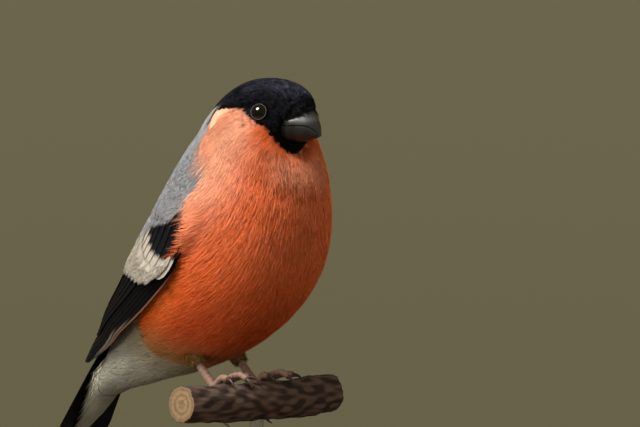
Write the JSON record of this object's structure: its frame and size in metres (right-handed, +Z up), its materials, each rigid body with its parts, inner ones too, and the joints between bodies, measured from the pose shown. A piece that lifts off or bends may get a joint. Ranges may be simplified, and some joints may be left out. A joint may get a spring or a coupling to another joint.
{
  "type": "bullfinch model",
  "caption": "Life-size male bullfinch gripping a short cut twig, wings folded and tail hanging, held by a rod on a flat oval base.",
  "frame": {"origin": "centre of the flat underside of the stand's base", "axes": "+X the way the bird faces, +Y towards its left side, +Z up"},
  "size_m": [0.1195, 0.078, 0.1315],
  "materials": {
    "cap_feathers": "glossy blue-black feathers",
    "breast_feathers": "soft orange-red body feathers",
    "wing_feathers": "glossy black flight feathers, grey coverts and a whitish bar",
    "tail_feathers": "glossy black tail feathers",
    "bill_horn": "satin grey-black horn",
    "eye": "wet dark brown",
    "leg_skin": "scaled brown skin, dark claws",
    "bark": "rough twig bark with pale cut ends",
    "steel": "brushed rod",
    "base_wood": "dark waxed wood"
  },
  "bodies": {
    "root": {"head": "cap_feathers", "neck": "breast_feathers", "torso": "breast_feathers", "bill_upper": "bill_horn", "bill_lower": "bill_horn", "eye_right": "eye", "eye_left": "eye", "wing_right": "wing_feathers", "wing_left": "wing_feathers", "tail": "tail_feathers", "thigh_right": "breast_feathers", "thigh_left": "breast_feathers", "tarsus_right": "leg_skin", "tarsus_left": "leg_skin", "foot_right": "leg_skin", "foot_left": "leg_skin", "stand_perch": "bark", "stand_rod": "steel", "stand_base": "base_wood"}
  },
  "joints": []
}
